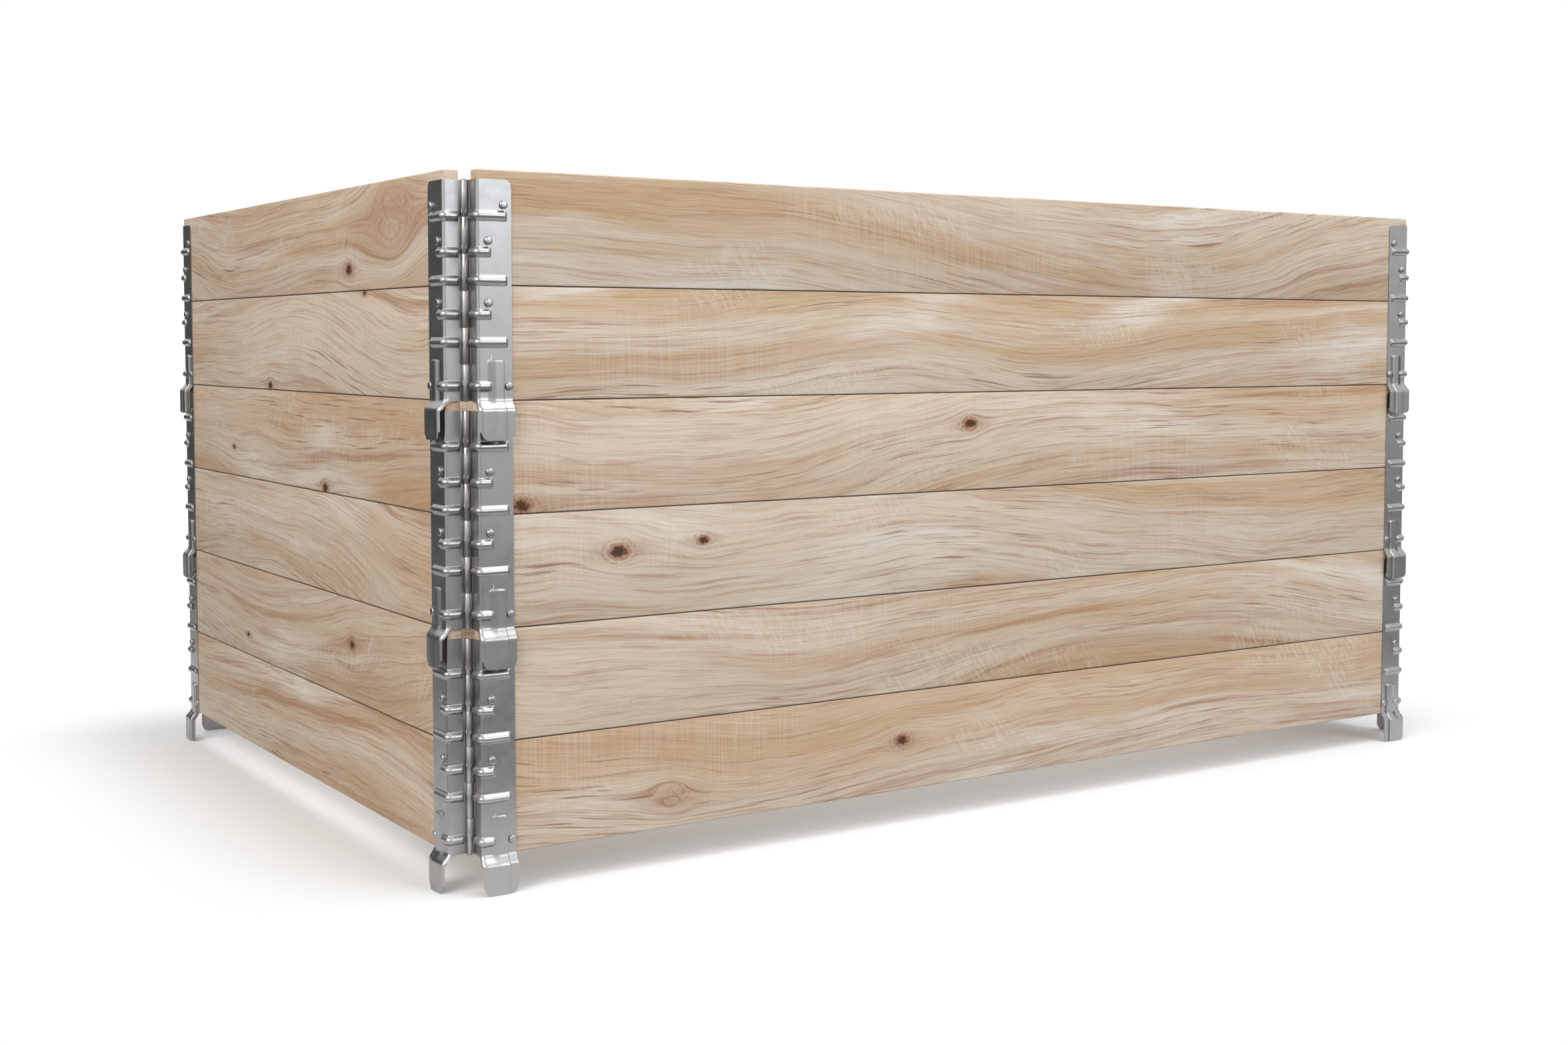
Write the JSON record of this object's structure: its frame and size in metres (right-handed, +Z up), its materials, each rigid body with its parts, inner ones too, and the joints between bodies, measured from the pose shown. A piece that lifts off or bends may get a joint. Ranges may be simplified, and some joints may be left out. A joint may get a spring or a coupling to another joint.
{
  "type": "pallet collar",
  "caption": "Stacked folding pallet collars: wooden board walls on pressed steel corner hinges with stacking tongues.",
  "frame": {"origin": "middle of the stack's footprint, on the floor under the lowest tongues", "axes": "+X along the long walls, +Y from the front long wall to the back one, +Z up"},
  "size_m": [1.2172, 0.8172, 0.6057],
  "materials": {
    "boards": "planed softwood, untreated, matt",
    "hinges": "galvanised pressed sheet, satin",
    "rivets": "zinc-plated, bright",
    "pins": "zinc-plated wire, satin"
  },
  "bodies": {
    "bottom_front_wall": {"bottom_front_lower_board": "boards", "bottom_front_upper_board": "boards", "bottom_front_leaves": "hinges", "bottom_front_rivets": "rivets", "bottom_front_left_pin": "pins", "bottom_front_right_pin": "pins"},
    "bottom_left_wall": {"bottom_left_lower_board": "boards", "bottom_left_upper_board": "boards", "bottom_left_leaves": "hinges", "bottom_left_rivets": "rivets"},
    "bottom_back_wall": {"bottom_back_lower_board": "boards", "bottom_back_upper_board": "boards", "bottom_back_leaves": "hinges", "bottom_back_rivets": "rivets", "bottom_back_left_pin": "pins", "bottom_back_right_pin": "pins"},
    "bottom_right_wall": {"bottom_right_lower_board": "boards", "bottom_right_upper_board": "boards", "bottom_right_leaves": "hinges", "bottom_right_rivets": "rivets"},
    "middle_front_wall": {"middle_front_lower_board": "boards", "middle_front_upper_board": "boards", "middle_front_leaves": "hinges", "middle_front_rivets": "rivets", "middle_front_left_pin": "pins", "middle_front_right_pin": "pins"},
    "middle_left_wall": {"middle_left_lower_board": "boards", "middle_left_upper_board": "boards", "middle_left_leaves": "hinges", "middle_left_rivets": "rivets"},
    "middle_back_wall": {"middle_back_lower_board": "boards", "middle_back_upper_board": "boards", "middle_back_leaves": "hinges", "middle_back_rivets": "rivets", "middle_back_left_pin": "pins", "middle_back_right_pin": "pins"},
    "middle_right_wall": {"middle_right_lower_board": "boards", "middle_right_upper_board": "boards", "middle_right_leaves": "hinges", "middle_right_rivets": "rivets"},
    "top_front_wall": {"top_front_lower_board": "boards", "top_front_upper_board": "boards", "top_front_leaves": "hinges", "top_front_rivets": "rivets", "top_front_left_pin": "pins", "top_front_right_pin": "pins"},
    "top_left_wall": {"top_left_lower_board": "boards", "top_left_upper_board": "boards", "top_left_leaves": "hinges", "top_left_rivets": "rivets"},
    "top_back_wall": {"top_back_lower_board": "boards", "top_back_upper_board": "boards", "top_back_leaves": "hinges", "top_back_rivets": "rivets", "top_back_left_pin": "pins", "top_back_right_pin": "pins"},
    "top_right_wall": {"top_right_lower_board": "boards", "top_right_upper_board": "boards", "top_right_leaves": "hinges", "top_right_rivets": "rivets"}
  },
  "joints": [
    {"name": "bottom_front_left_fold", "type": "hinge", "parent": "bottom_front_wall", "child": "bottom_left_wall", "pos_m": [-0.5835, -0.3835, 0.1282], "axis": [0, 0, 1], "range_deg": [-90, 90]},
    {"name": "bottom_front_right_fold", "type": "hinge", "parent": "bottom_front_wall", "child": "bottom_right_wall", "pos_m": [0.5835, -0.3835, 0.1282], "axis": [0, 0, 1], "range_deg": [-90, 90]},
    {"name": "bottom_back_left_fold", "type": "hinge", "parent": "bottom_left_wall", "child": "bottom_back_wall", "pos_m": [-0.5835, 0.3835, 0.1282], "axis": [0, 0, 1], "range_deg": [-90, 90]},
    {"name": "middle_lift", "type": "slide", "parent": "bottom_front_wall", "child": "middle_front_wall", "axis": [0, 0, 1], "range_m": [0, 0.25]},
    {"name": "middle_front_left_fold", "type": "hinge", "parent": "middle_front_wall", "child": "middle_left_wall", "pos_m": [-0.5835, -0.3835, 0.3192], "axis": [0, 0, 1], "range_deg": [-90, 90]},
    {"name": "middle_front_right_fold", "type": "hinge", "parent": "middle_front_wall", "child": "middle_right_wall", "pos_m": [0.5835, -0.3835, 0.3192], "axis": [0, 0, 1], "range_deg": [-90, 90]},
    {"name": "middle_back_left_fold", "type": "hinge", "parent": "middle_left_wall", "child": "middle_back_wall", "pos_m": [-0.5835, 0.3835, 0.3192], "axis": [0, 0, 1], "range_deg": [-90, 90]},
    {"name": "top_lift", "type": "slide", "parent": "middle_front_wall", "child": "top_front_wall", "axis": [0, 0, 1], "range_m": [0, 0.25]},
    {"name": "top_front_left_fold", "type": "hinge", "parent": "top_front_wall", "child": "top_left_wall", "pos_m": [-0.5835, -0.3835, 0.5102], "axis": [0, 0, 1], "range_deg": [-90, 90]},
    {"name": "top_front_right_fold", "type": "hinge", "parent": "top_front_wall", "child": "top_right_wall", "pos_m": [0.5835, -0.3835, 0.5102], "axis": [0, 0, 1], "range_deg": [-90, 90]},
    {"name": "top_back_left_fold", "type": "hinge", "parent": "top_left_wall", "child": "top_back_wall", "pos_m": [-0.5835, 0.3835, 0.5102], "axis": [0, 0, 1], "range_deg": [-90, 90]}
  ],
  "couplings": [
    {"joint": "bottom_front_right_fold", "follows": "bottom_front_left_fold", "ratio": 1},
    {"joint": "bottom_back_left_fold", "follows": "bottom_front_left_fold", "ratio": -1},
    {"joint": "middle_front_left_fold", "follows": "bottom_front_left_fold", "ratio": 1},
    {"joint": "middle_front_right_fold", "follows": "bottom_front_left_fold", "ratio": 1},
    {"joint": "middle_back_left_fold", "follows": "bottom_front_left_fold", "ratio": -1},
    {"joint": "top_front_left_fold", "follows": "bottom_front_left_fold", "ratio": 1},
    {"joint": "top_front_right_fold", "follows": "bottom_front_left_fold", "ratio": 1},
    {"joint": "top_back_left_fold", "follows": "bottom_front_left_fold", "ratio": -1}
  ]
}
